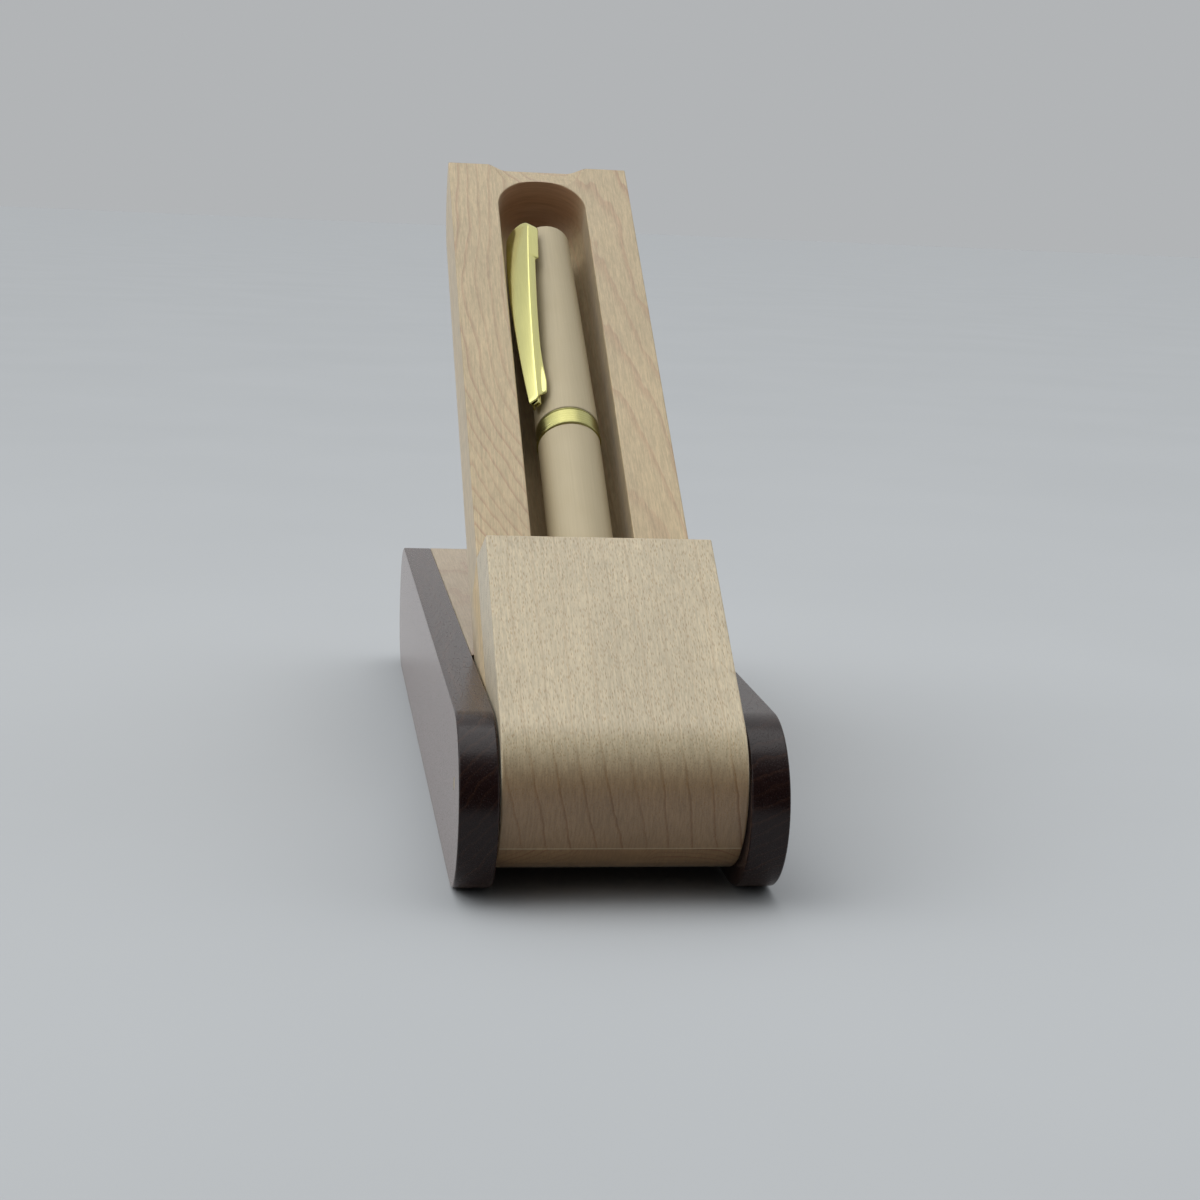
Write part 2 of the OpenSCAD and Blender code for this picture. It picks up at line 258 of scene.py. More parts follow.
def along(edge, axis):
    """Whether an edge runs along one axis."""
    way = (edge.verts[0].co - edge.verts[1].co).normalized()
    return abs(way[axis]) > 0.999


def round_ended_bar(width, low_y, high_y, height):
    """A bar about the middle of the case, with half round ends."""
    bm = box((width, high_y - low_y, height), (0, (low_y + high_y) / 2, height / 2))
    round_edges(bm, [e for e in bm.edges if along(e, 0)], height / 2, BAR_STEPS)
    return bm


def trim(bm, point, normal):
    """Cuts away what lies on the side that the normal points to, and closes the cut."""
    bmesh.ops.bisect_plane(bm, geom=bm.verts[:] + bm.edges[:] + bm.faces[:], dist=CUT_ROOM,
                           plane_co=point, plane_no=normal, clear_outer=True)
    bmesh.ops.holes_fill(bm, edges=[e for e in bm.edges if e.is_boundary], sides=0)


def scratch_object(bm, name):
    """Links a bmesh as a helper object that is removed again."""
    helper = bpy.data.objects.new(name, to_mesh(bm, name))
    bpy.context.scene.collection.objects.link(helper)
    return helper


def cut(bm, tool):
    """Takes one bmesh away from another. The cut faces keep the tool's material index."""
    body, cutter = scratch_object(bm, "blank"), scratch_object(tool, "cutter")
    for index in range(2):
        body.data.materials.append(None)
        cutter.data.materials.append(None)
    boolean = body.modifiers.new("cut", "BOOLEAN")
    boolean.object = cutter
    boolean.operation = "DIFFERENCE"
    boolean.solver = "EXACT"
    boolean.material_mode = "INDEX"
    evaluated = body.evaluated_get(bpy.context.evaluated_depsgraph_get())
    made = bmesh.new()
    made.from_mesh(evaluated.to_mesh())
    evaluated.to_mesh_clear()
    for helper in (body, cutter):
        mesh = helper.data
        bpy.data.objects.remove(helper)
        bpy.data.meshes.remove(mesh)
    if not made.faces:
        raise RuntimeError("a cut left nothing")
    bmesh.ops.remove_doubles(made, verts=made.verts, dist=MERGE)
    return made


def tidy(bm):
    """Joins the faces that lie in one plane."""
    bmesh.ops.dissolve_limit(bm, angle_limit=LEVEL, use_dissolve_boundaries=False,
                             verts=bm.verts, edges=bm.edges, delimit={"MATERIAL"})


def ease(bm, radius, segments, keep=lambda edge: False):
    """Rounds every sharp outer edge by a small radius, apart from those to keep."""
    sharp = [e for e in bm.edges if e.is_manifold and not keep(e)
             and e.calc_face_angle() > EASED]
    bmesh.ops.bevel(bm, geom=sharp, offset=radius, offset_type="OFFSET", segments=segments,
                    profile=0.5, affect="EDGES", clamp_overlap=False, material=-1)


def rod(radius, x0, x1, place):
    """A round rod along X on the pivot axis."""
    bm = bmesh.new()
    bmesh.ops.create_cone(bm, cap_ends=True, segments=ROD_SIDES, radius1=radius, radius2=radius,
                          depth=abs(x1 - x0))
    turn = Matrix.Rotation(math.pi / 2, 4, "Y")
    shift = Matrix.Translation(((x0 + x1) / 2, place[0], place[1]))
    bmesh.ops.transform(bm, matrix=shift @ turn, verts=bm.verts)
    return bm


def lathe(points):
    """Turns a closed profile of (radius, height) points round the pen's axis."""
    bm = bmesh.new()
    verts = [bm.verts.new((r, 0, z)) for r, z in points]
    edges = [bm.edges.new(pair) for pair in zip(verts, verts[1:] + verts[:1])]
    bmesh.ops.spin(bm, geom=verts + edges, cent=(0, 0, 0), axis=(0, 0, 1), dvec=(0, 0, 0),
                   angle=2 * math.pi, steps=LATHE_STEPS, use_merge=True, use_duplicate=False)
    bmesh.ops.remove_doubles(bm, verts=bm.verts, dist=MERGE)
    return bm


def arc(centre_r, centre_z, radius, start, end, steps):
    """Points of an arc in a profile, between two angles in degrees."""
    angles = [math.radians(start + (end - start) * i / steps) for i in range(steps + 1)]
    return [(centre_r + radius * math.cos(a), centre_z + radius * math.sin(a)) for a in angles]


def curve(points, x):
    """A smooth curve through (place, value) points."""
    for i in range(len(points) - 1):
        (x0, y0), (x1, y1) = points[i], points[i + 1]
        if x <= x1:
            before = points[i - 1] if i else points[i]
            after = points[i + 2] if i + 2 < len(points) else points[i + 1]
            m0 = (y1 - before[1]) / (x1 - before[0]) * (x1 - x0)
            m1 = (after[1] - y0) / (after[0] - x0) * (x1 - x0)
            s = (x - x0) / (x1 - x0)
            return (y0 * (1 + 2 * s) * (1 - s) ** 2 + m0 * s * (1 - s) ** 2
                    + y1 * s * s * (3 - 2 * s) - m1 * s * s * (1 - s))
    return points[-1][1]


# Shader helpers
class Tree:
    """Places and joins nodes in one shader tree."""

    def __init__(self, tree):
        self.tree = tree

    def add(self, kind, inputs=None, **settings):
        """Adds a node. Inputs are values or sockets, by name or number."""
        node = self.tree.nodes.new(kind)
        for name, value in settings.items():
            setattr(node, name, value)
        for key, value in (inputs or {}).items():
            if isinstance(value, bpy.types.NodeSocket):
                self.tree.links.new(value, node.inputs[key])
            else:
                node.inputs[key].default_value = value
        return node

    def math(self, operation, a, b=0.0, c=0.0, clamp=False):
        """One sum of two or three values."""
        return self.add("ShaderNodeMath", {0: a, 1: b, 2: c}, operation=operation, use_clamp=clamp).outputs[0]

    def ramp(self, value, low, high, out_low=0.0, out_high=1.0):
        """A smooth step from one value to another."""
        node = self.add("ShaderNodeMapRange", {"Value": value, "From Min": low, "From Max": high,
                                               "To Min": out_low, "To Max": out_high},
                        interpolation_type="SMOOTHSTEP")
        return node.outputs["Result"]

    def mix(self, factor, a, b, blend="MIX"):
        """A mix of two colours."""
        node = self.add("ShaderNodeMix", data_type="RGBA", blend_type=blend, clamp_factor=True)
        for socket, value in zip((node.inputs[0], node.inputs[6], node.inputs[7]), (factor, a, b)):
            if isinstance(value, bpy.types.NodeSocket):
                self.tree.links.new(value, socket)
            else:
                socket.default_value = value
        return node.outputs[2]

    def stretch(self, vector, scale):
        """A vector scaled along its axes."""
        return self.add("ShaderNodeVectorMath", {0: vector, 1: scale}, operation="MULTIPLY").outputs[0]

    def noise(self, vector, detail=2.0, roughness=0.5):
        """A noise of unit size."""
        return self.add("ShaderNodeTexNoise", {"Vector": vector, "Scale": 1.0, "Detail": detail,
                                               "Roughness": roughness}).outputs[0]

    def axes(self, vector):
        """The three parts of a vector."""
        return self.add("ShaderNodeSeparateXYZ", {0: vector}).outputs

    def shaded(self, shade, tone):
        """A colour made lighter or darker by a factor."""
        grey = self.add("ShaderNodeCombineColor", {0: tone, 1: tone, 2: tone}).outputs[0]
        return self.mix(1.0, shade, grey, "MULTIPLY")

    def feed(self, shader, name, socket):
        """Leads a value to one of a shader's inputs."""
        self.tree.links.new(socket, shader.inputs[name])


def fix(shader, **values):
    """Sets constants on a shader's own inputs. A name's underscores stand for spaces."""
    for name, value in values.items():
        shader.inputs[name.replace("_", " ")].default_value = value


def rgba(values):
    """A colour with full alpha."""
    return (*values, 1.0)


def group_sockets(group, inputs, outputs):
    """Makes a group's named sockets."""
    for name, kind, default in inputs:
        socket = group.interface.new_socket(name, in_out="INPUT", socket_type=kind)
        if default is not None:
            socket.default_value = default
    for name, kind in outputs:
        group.interface.new_socket(name, in_out="OUTPUT", socket_type=kind)


# Marks in the wood, as steps per millimetre across, along and up the board
SWAY, JITTER, JITTER_SHARE = (0.07, 0.03, 0.07), (0.5, 0.09, 0.5), 0.2
FIBRES, FLECKS, PATCHES, DASHES = (5.0, 0.12, 5.0), (4.6, 0.9, 4.6), (0.1, 0.03, 0.1), (3.2, 0.4, 0.4)
LINE_START, LINE_PEAK = 0.62, 0.95
SEEN_MIDDLE = (0.3, 0.7)
SMUDGE_SPAN = (0.3, 0.75)


def board_grain():
    """Growth rings, fibres and flecks of a board, read at a place in millimetres."""
    name = "Board grain"
    if name in bpy.data.node_groups:
        return bpy.data.node_groups[name]
    group = bpy.data.node_groups.new(name, "ShaderNodeTree")
    number = "NodeSocketFloat"
    group_sockets(group, [("Place", "NodeSocketVector", None), ("Pith X", number, 0.0),
                          ("Pith Z", number, -20.0), ("Pith Tilt", number, 0.0),
                          ("Ring Width", number, 2.5), ("Waviness", number, 1.0),
                          ("Drift", number, 0.0), ("Line Start", number, LINE_START), ("Seed", number, 0.0)],
                  [("Ring", number), ("Fibre", number), ("Fleck", number), ("Patch", number)])
    t = Tree(group)
    given = t.add("NodeGroupInput").outputs
    seeded = t.add("ShaderNodeVectorMath", {0: given["Place"]}, operation="ADD")
    shift = t.add("ShaderNodeCombineXYZ", {0: given["Seed"], 1: given["Seed"], 2: given["Seed"]})
    t.tree.links.new(shift.outputs[0], seeded.inputs[1])
    place = seeded.outputs[0]
    axes = t.axes(given["Place"])
    off_x = t.math("SUBTRACT", axes[0], given["Pith X"])
    off_z = t.math("SUBTRACT", axes[2], given["Pith Z"])
    off_z = t.math("MULTIPLY_ADD", axes[1], given["Pith Tilt"], off_z)
    squares = t.math("ADD", t.math("MULTIPLY", off_x, off_x), t.math("MULTIPLY", off_z, off_z))
    reach = t.math("SQRT", squares)
    sway = t.math("SUBTRACT", t.noise(t.stretch(place, SWAY)), 0.5)
    jitter = t.math("SUBTRACT", t.noise(t.stretch(place, JITTER)), 0.5)
    sway = t.math("MULTIPLY_ADD", jitter, JITTER_SHARE, sway)
    reach = t.math("MULTIPLY_ADD", sway, given["Waviness"], t.math("ADD", reach, given["Drift"]))
    rings = t.math("DIVIDE", reach, given["Ring Width"])
    part = t.math("FRACT", rings)
    rise = t.ramp(part, given["Line Start"], LINE_PEAK)
    fall = t.ramp(part, LINE_PEAK, 1.0, 1.0, 0.0)
    whole = t.add("ShaderNodeTexWhiteNoise", {"W": t.math("FLOOR", rings)}, noise_dimensions="1D")
    weight = t.math("MULTIPLY_ADD", whole.outputs["Value"], 0.6, 0.4)
    ring = t.math("MULTIPLY", t.math("MULTIPLY", rise, fall), weight)
    fibre = t.noise(t.stretch(place, FIBRES), 3.0, 0.6)
    cells = t.add("ShaderNodeTexVoronoi", {"Vector": t.stretch(place, FLECKS), "Scale": 1.0,
                                           "Randomness": 1.0}).outputs
    chance = t.add("ShaderNodeSeparateColor", {0: cells["Color"]}).outputs[0]
    heart = t.ramp(cells["Distance"], 0.12, 0.5, 1.0, 0.0)
    fleck = t.math("MULTIPLY", heart, t.ramp(chance, 0.0, 0.8, 0.2, 1.0))
    patch = t.noise(t.stretch(place, PATCHES))
    t.add("NodeGroupOutput", {"Ring": ring, "Fibre": fibre, "Fleck": fleck, "Patch": patch})
    return group


def fine_wear():
    """Fine scratches and smudges of a polished or lacquered surface, read in millimetres."""
    name = "Fine wear"
    if name in bpy.data.node_groups:
        return bpy.data.node_groups[name]
    group = bpy.data.node_groups.new(name, "ShaderNodeTree")
    number = "NodeSocketFloat"
    group_sockets(group, [("Place", "NodeSocketVector", None), ("Length", number, 0.1)],
                  [("Streak", number), ("Smudge", number)])
    t = Tree(group)
    given = t.add("NodeGroupInput").outputs
    lengths = t.add("ShaderNodeCombineXYZ", {0: 4.0, 1: 4.0, 2: given["Length"]}).outputs[0]
    streak = t.noise(t.stretch(given["Place"], lengths), 3.0, 0.65)
    smudge = t.noise(t.stretch(given["Place"], (0.25, 0.25, 0.25)), 3.0, 0.6)
    t.add("NodeGroupOutput", {"Streak": streak, "Smudge": smudge})
    return group


def new_material(name):
    """An empty material and its tree with a principled shader."""
    material = bpy.data.materials.new(name)
    material.use_nodes = True
    material.node_tree.nodes.clear()
    t = Tree(material.node_tree)
    shader = t.add("ShaderNodeBsdfPrincipled")
    t.add("ShaderNodeOutputMaterial", {"Surface": shader.outputs[0]})
    return material, t, shader


def place_in(t, place):
    """Object coordinates turned into one of the placings, in millimetres."""
    back = place.inverted()
    here = t.add("ShaderNodeTexCoord").outputs["Object"]
    return t.add("ShaderNodeMapping", {"Vector": here, "Location": back.translation / MM,
                                       "Rotation": back.to_euler(), "Scale": (1 / MM,) * 3},
                 vector_type="POINT").outputs[0]


def use(t, group, inputs):
    """Places a node group with its values."""
    return t.add("ShaderNodeGroup", inputs, node_tree=group).outputs


def bump(t, shader, height, distance):
    """A bump of a given depth in metres."""
    node = t.add("ShaderNodeBump", {"Height": height, "Strength": 1.0, "Distance": distance})
    t.feed(shader, "Normal", node.outputs[0])


END_SPAN = (0.25, 0.8)


def end_mask(t):
    """How far the surface faces along the tray, where its end grain shows."""
    facing = t.add("ShaderNodeTexCoord").outputs["Normal"]
    along_tray = t.add("ShaderNodeVectorMath", {0: facing, 1: PEN_AXIS}, operation="DOT_PRODUCT")
    return t.ramp(t.math("ABSOLUTE", along_tray.outputs["Value"]), *END_SPAN)


def wood(name, place, base, line, end_tint_and_shade, grain, rings, flecks, roughness, depth):
    """A board's finish: growth lines, fibres and flecks over a base colour, darker and warmer on the end grain,
    partly the end grain's own tone and partly painted shade on the boards' end faces.

    Rings and flecks are strengths on the long sides and on the end grain."""
    material, t, shader = new_material(name)
    here = place_in(t, place)
    grain = dict(grain)
    if "Drift" in grain:
        grain["Drift"] = curved_lines(t, here, *grain["Drift"])
    marks = use(t, board_grain(), {"Place": here, **grain})
    end = end_mask(t)

    def strength(mark, on_sides, on_end):
        return t.math("MULTIPLY", mark, t.math("MULTIPLY_ADD", end, on_end - on_sides, on_sides))

    shade = t.mix(strength(marks["Ring"], *rings), rgba(base), rgba(line))
    shade = t.mix(strength(marks["Fleck"], *flecks), shade, rgba(line))
    tone = t.ramp(marks["Fibre"], 0.25, 0.75, 0.9, 1.09)
    tone = t.math("MULTIPLY", tone, t.ramp(marks["Patch"], *SEEN_MIDDLE, 0.95, 1.05))
    dashes = t.noise(t.stretch(here, DASHES), 3.0, 0.65)
    tone = t.math("MULTIPLY", tone, t.ramp(dashes, *SEEN_MIDDLE, 0.87, 1.11))
    shade = t.shaded(shade, tone)
    # Darker, warmer end grain: partly the end grain's own tone, partly painted shade on the end faces
    shade = t.mix(end, shade, t.mix(1.0, shade, rgba(end_tint_and_shade), "MULTIPLY"))
    t.feed(shader, "Base Color", shade)
    t.feed(shader, "Roughness", t.ramp(marks["Fibre"], 0.2, 0.8, roughness + 0.08, roughness - 0.06))
    fix(shader, Sheen_Weight=0.28, Sheen_Tint=(1.0, 0.93, 0.8, 1.0), Sheen_Roughness=0.4)
    height = t.math("MULTIPLY_ADD", marks["Fleck"], -flecks[0], marks["Fibre"])
    bump(t, shader, height, depth)
    return material, t, shader, shade, here


def curved_lines(t, here, start, bend):
    """A drift of the rings that curves the lines of the tray's left rail."""
    axes = t.axes(here)
    back = t.math("MAXIMUM", t.math("SUBTRACT", start, axes[1]), 0.0)
    left = t.ramp(axes[0], *LEFT_RAIL, bend, 0.0)
    return t.math("MULTIPLY", t.math("MULTIPLY", back, back), left)


# Where the left rail's lines bend, in millimetres across the tray, and how the tray's rings lie
LEFT_RAIL = (-8.0, 6.0)
TRAY_GRAIN = {"Pith X": 7.0, "Pith Z": -9.0, "Pith Tilt": 0.055, "Ring Width": 1.3, "Waviness": 3.0,
              "Drift": (145.0, 0.0022), "Seed": 3.0}


def maple_finish(finish):
    """Flat-sawn maple of the tray."""
    return wood("tray_maple", TRAY, finish.maple, finish.maple_line, finish.end_grain_and_shade, TRAY_GRAIN,
                (0.72, 1.0), (0.1, 0.0), 0.34, 0.008 * MM)[0]


def deck_finish(finish):
    """Maple of the deck board."""
    grain = {"Pith X": -12.0, "Pith Z": -4.0, "Pith Tilt": 0.05, "Ring Width": 2.2, "Waviness": 5.0,
             "Seed": 41.0}
    return wood("deck_maple", CASE, finish.deck, finish.maple_line, finish.end_grain_and_shade, grain,
                (0.4, 0.6), (0.1, 0.0), 0.34, 0.008 * MM)[0]


def block_finish(finish):
    """Quarter-sawn maple of the pocket block, with small flecks all over its top."""
    grain = {"Pith X": -120.0, "Pith Z": -8.0, "Pith Tilt": 0.02, "Ring Width": 3.7, "Waviness": 2.5,
             "Line Start": 0.82, "Seed": 17.0}
    material, t, shader, shade, here = wood("block_maple", TRAY, finish.pale_maple, finish.pale_line,
                                            finish.end_grain_and_shade, grain, (0.25, 0.75), (0.7, 0.3), 0.3,
                                            0.012 * MM)
    height = t.axes(here)[2]
    joint = BLOCK_LOW.z / MM
    glue = t.ramp(height, joint + 0.1, joint + 0.4, 0.4, 0.0)
    t.feed(shader, "Base Color", t.mix(glue, shade, rgba(finish.pale_maple)))
    return material


# Painted shade: how much darker the maple is made inside the slot's recess
SLOT_PAINTED_SHADE = 0.72
SCORCH_START, SCORCH_FULL = 12.0, 1.0


def slot_finish(finish, tray):
    """The slot's walls: cutter marks along them, a scorched far end, and the maple darkened all over as painted
    shade in the slot.
    """
    # The slot's maple darkened as painted shade in the recess
    dark = [SLOT_PAINTED_SHADE * value for value in finish.maple]
    material, t, shader, shade, here = wood("slot_maple", TRAY, dark, finish.maple_line, finish.end_grain_and_shade,
                                            TRAY_GRAIN, (0.4, 0.0), (0.25, 0.0), 0.5, 0.02 * MM)
    axes = t.axes(here)
    end = t.ramp(axes[1], tray.slot_end / MM - SCORCH_START, tray.slot_end / MM - SCORCH_FULL)
    bands = t.noise(t.stretch(here, (0.1, 0.1, 1.9)), 3.0, 0.6)
    scorch = t.math("MULTIPLY", end, t.ramp(bands, 0.25, 0.75, 0.6, 1.0), clamp=True)
    t.feed(shader, "Base Color", t.mix(scorch, shade, rgba(finish.burn)))
    return material


def rosewood_finish(finish):
    """Dark oiled rosewood with open pores."""
    material, t, shader = new_material("panel_rosewood")
    here = place_in(t, CASE)
    marks = use(t, board_grain(), {"Place": here, "Pith X": 60.0, "Pith Z": -70.0, "Pith Tilt": 0.03,
                                   "Ring Width": 1.7, "Waviness": 6.0, "Seed": 77.0})
    streak = t.math("MULTIPLY", marks["Ring"], 0.4)
    shade = t.mix(streak, rgba(finish.rosewood), rgba(finish.rosewood_streak))
    tone = t.ramp(marks["Fibre"], 0.25, 0.75, 0.7, 1.3)
    t.feed(shader, "Base Color", t.shaded(shade, tone))
    facing = t.axes(t.add("ShaderNodeTexCoord").outputs["Normal"])[0]
    flat = t.ramp(t.math("ABSOLUTE", facing), 0.6, 0.9)
    rough = t.ramp(marks["Fleck"], 0.0, 1.0, 0.2, 0.36)
    rough = t.math("MULTIPLY", rough, t.math("MULTIPLY_ADD", flat, -0.4, 1.0))
    t.feed(shader, "Roughness", rough)
    fix(shader, IOR=1.345, Sheen_Weight=0.18, Sheen_Roughness=0.35, Sheen_Tint=(1.0, 0.66, 0.56, 1.0))
    height = t.math("MULTIPLY_ADD", marks["Fleck"], -1.0, t.math("MULTIPLY", marks["Fibre"], 0.6))
    bump(t, shader, height, 0.015 * MM)
    return material


def metal(name, base, streak_length, rough_low, rough_high, metallic, depth, tint=0.06):
    """A metal finish with fine streaks and faint smudges. A low streak length draws them along the pen."""
    material, t, shader = new_material(name)
    here = place_in(t, PEN)
    wear = use(t, fine_wear(), {"Place": here, "Length": streak_length})
    tone = t.ramp(wear["Streak"], *SEEN_MIDDLE, 1.0 - tint, 1.0 + tint)
    t.feed(shader, "Base Color", t.shaded(rgba(base), tone))
    t.feed(shader, "Roughness", t.ramp(wear["Smudge"], *SMUDGE_SPAN, rough_low, rough_high))
    fix(shader, Metallic=metallic)
    bump(t, shader, wear["Streak"], depth)
    return material


def champagne_finish(finish):
    """Satin champagne lacquer with a metallic sheen."""
    return metal("champagne_lacquer", finish.champagne, 0.06, 0.5, 0.58, 0.08, 0.002 * MM, 0.03)


def gold_finish(finish):
    """Polished gold plate."""
    return metal("gold_plate", finish.gold, 0.2, 0.1, 0.2, 1.0, 0.001 * MM, 0.03)


# Painted shade: how much darker the band's gold is made for the light that its turned lines trap
TURNED_PAINTED_SHADE = 0.66


def turned_finish(finish):
    """Gold plate with fine turned lines, darkened all over as painted shade of the light that the turned lines
    trap.
    """
    # The band's gold darkened as painted shade of its turned lines
    dark = [TURNED_PAINTED_SHADE * value for value in finish.gold]
    return metal("turned_gold", dark, 14.0, 0.26, 0.36, 1.0, 0.004 * MM, 0.1)


def brass_finish(finish):
    """Plain brass of the pins and of the pieces inside the pen."""
    return metal("plain_brass", finish.brass, 2.0, 0.28, 0.42, 1.0, 0.003 * MM)


def steel_finish(finish):
    """Drawn steel of the refill tube."""
    return metal("drawn_steel", finish.steel, 0.04, 0.25, 0.4, 1.0, 0.003 * MM)


# Floor in metres with its painted falloff of light, the tent's light by direction, and the camera that was
# fitted to the picture
FLOOR_SIZE = 30
# Painted shade on the floor: the centre of its painted light, the reach and share of the falloff, and the
# darker strip close to the camera
PAINTED_LIGHT_CENTRE, PAINTED_FALLOFF_REACH, PAINTED_FALLOFF_SHARE = (-0.05, -0.37, 0.0), 0.48, 0.14
NEAR_PAINTED_SHADE_SPAN, NEAR_PAINTED_SHADE_TONE = (-0.35, -0.1), (0.9, 1.0)
WALL_SPAN, WALL_LIGHT = (0.05, 0.8), (0.7, 1.2)
BACK_SPAN, BACK_LIGHT = (-0.8, 0.1), (0.03, 1.0)
LEFT_SPAN, LEFT_LIGHT, LEFT_FADE, LEFT_RISE = (-0.85, 0.0), (1.8, 0.0), (0.2, 0.7), (0.1, 0.5)
TENT_COLOUR = (0.97, 0.99, 1.0, 1.0)
LAMP_ANGLE, LAMP_TURN = math.radians(50), (math.radians(-6), math.radians(-3), 0)
CAMERA_PLACE = Vector((-0.049398, -0.285667 + FRONT_Y, 0.101276))
CAMERA_YAW, CAMERA_PITCH, CAMERA_ROLL = 0.151289, -0.187301, 0.043127


# Operators
class PENBOX_OT_stage(bpy.types.Operator):
    """Make the floor, the light and the camera"""

    bl_idname = "penbox.stage"
    bl_label = "Stage"

    def execute(self, context):
        scene, stage = context.scene, context.scene.pen_box_stage
        scene.view_settings.view_transform = "Standard"
        self.floor(stage)
        self.light(scene, stage)
        self.camera(scene, stage)
        return {"FINISHED"}

    def floor(self, stage):
        """A floor that reaches to the horizon, with painted shade: darker away from a point near the camera,
        and darker close to the camera.
        """
        bm = bmesh.new()
        bmesh.ops.create_grid(bm, x_segments=8, y_segments=8, size=FLOOR_SIZE)
        mesh = to_mesh(bm, "studio_floor")
        material, t, shader = new_material("floor_paper")
        here = t.add("ShaderNodeTexCoord").outputs["Object"]
        mottle = t.noise(t.stretch(here, (8.0, 8.0, 8.0)), 3.0)
        tone = t.ramp(mottle, 0.2, 0.8, 0.985, 1.015)
        # Painted falloff of light: the floor darkens away from a point near the camera
        away = t.add("ShaderNodeVectorMath", {0: here, 1: PAINTED_LIGHT_CENTRE}, operation="DISTANCE")
        fade = t.math("MINIMUM", t.math("DIVIDE", PAINTED_FALLOFF_REACH, away.outputs["Value"]), 1.0)
        tone = t.math("MULTIPLY", tone, t.math("MULTIPLY_ADD", fade, PAINTED_FALLOFF_SHARE, 1.0 - PAINTED_FALLOFF_SHARE))
        # Painted shade: the floor darkens close to the camera
        near = t.axes(here)[1]
        tone = t.math("MULTIPLY", tone, t.ramp(near, *NEAR_PAINTED_SHADE_SPAN, *NEAR_PAINTED_SHADE_TONE))
        t.feed(shader, "Base Color", t.shaded(rgba(stage.floor), tone))
        fix(shader, Roughness=0.9, Specular_IOR_Level=0.0)
        mesh.materials.append(material)
        floor = bpy.data.objects.new("studio_floor", mesh)
        bpy.context.scene.collection.objects.link(floor)

    def light(self, scene, stage):
        """A light tent that is open towards the camera, and a soft lamp above it."""
        world = bpy.data.worlds.new("light_tent")
        world.use_nodes = True
        world.node_tree.nodes.clear()
        t = Tree(world.node_tree)
        way = t.axes(t.add("ShaderNodeTexCoord").outputs["Generated"])
        walls = t.ramp(way[2], *WALL_SPAN, *WALL_LIGHT)
        back = t.ramp(way[1], *BACK_SPAN, *BACK_LIGHT)
        left = t.math("MULTIPLY", t.ramp(way[0], *LEFT_SPAN, *LEFT_LIGHT), t.ramp(way[1], *LEFT_FADE, 1.0, 0.0))
        left = t.math("MULTIPLY_ADD", left, t.ramp(way[2], *LEFT_RISE), 1.0)
        strength = t.math("MULTIPLY", t.math("MULTIPLY", walls, back), t.math("MULTIPLY", left, stage.tent))
        seen = t.add("ShaderNodeLightPath").outputs["Is Camera Ray"]
        shade = t.mix(seen, TENT_COLOUR, rgba(stage.backdrop))
        strength = t.add("ShaderNodeMix", {0: seen, 2: strength, 3: 1.0}, data_type="FLOAT").outputs[0]
        ground = t.add("ShaderNodeBackground", {"Color": shade, "Strength": strength})
        t.add("ShaderNodeOutputWorld", {"Surface": ground.outputs[0]})
        scene.world = world
        lamp = bpy.data.lights.new("overhead_lamp", "SUN")
        lamp.energy = stage.lamp
        lamp.angle = LAMP_ANGLE
        hung = bpy.data.objects.new("overhead_lamp", lamp)
        hung.rotation_euler = LAMP_TURN
        scene.collection.objects.link(hung)

    def camera(self, scene, stage):
        """The camera at the place that the picture was taken from."""
        flat = math.cos(CAMERA_PITCH)
        forward = Vector((math.sin(CAMERA_YAW) * flat, math.cos(CAMERA_YAW) * flat, math.sin(CAMERA_PITCH)))
        right = forward.cross(Vector((0, 0, 1))).normalized()
        up = right.cross(forward)
        axes = Matrix((right, up, -forward)).transposed().to_4x4()
        data = bpy.data.cameras.new("view")
        data.sensor_width, data.lens = 36, stage.lens
        data.shift_x, data.shift_y = 0.00248, 0.00513
        data.clip_start, data.clip_end = 0.01, 20
        camera = bpy.data.objects.new("view", data)
        camera.matrix_world = Matrix.Translation(CAMERA_PLACE) @ axes @ Matrix.Rotation(CAMERA_ROLL, 4, "Z")
        scene.collection.objects.link(camera)
        scene.camera = camera


class PENBOX_OT_side_panels(bpy.types.Operator):
    """Make the two round-ended side panels"""

    bl_idname = "penbox.side_panels"
    bl_label = "Side panels"

    def execute(self, context):
        sizes, finish = context.scene.pen_box_case, context.scene.pen_box_finish
        rosewood = rosewood_finish(finish)
        for side, name in ((-1, "left_side_panel"), (1, "right_side_panel")):
            bm = round_ended_bar(sizes.panel_t, PANEL_LOW.y, PANEL_HIGH.y, PANEL_HIGH.z)
            ends = [e for e in bm.edges if not along(e, 0) and e.calc_face_angle() > 1]
            bmesh.ops.bevel(bm, geom=ends, offset=sizes.panel_ease, offset_type="OFFSET", segments=3,
                            profile=0.5, affect="EDGES", clamp_overlap=True, material=-1)
            middle = side * (PANEL_LOW.x + PANEL_HIGH.x) / 2
            bmesh.ops.translate(bm, vec=(middle, 0, 0), verts=bm.verts)
            radius = (PIN_HIGH.z - PIN_LOW.z) / 2
            bm = cut(bm, rod(radius, middle - sizes.panel_t, middle + sizes.panel_t,
                             (PIVOT.y - FRONT_Y, PIVOT.z)))
            finish_piece(bm, "rosewood_" + name, CASE, "case", [name], [rosewood])
        return {"FINISHED"}


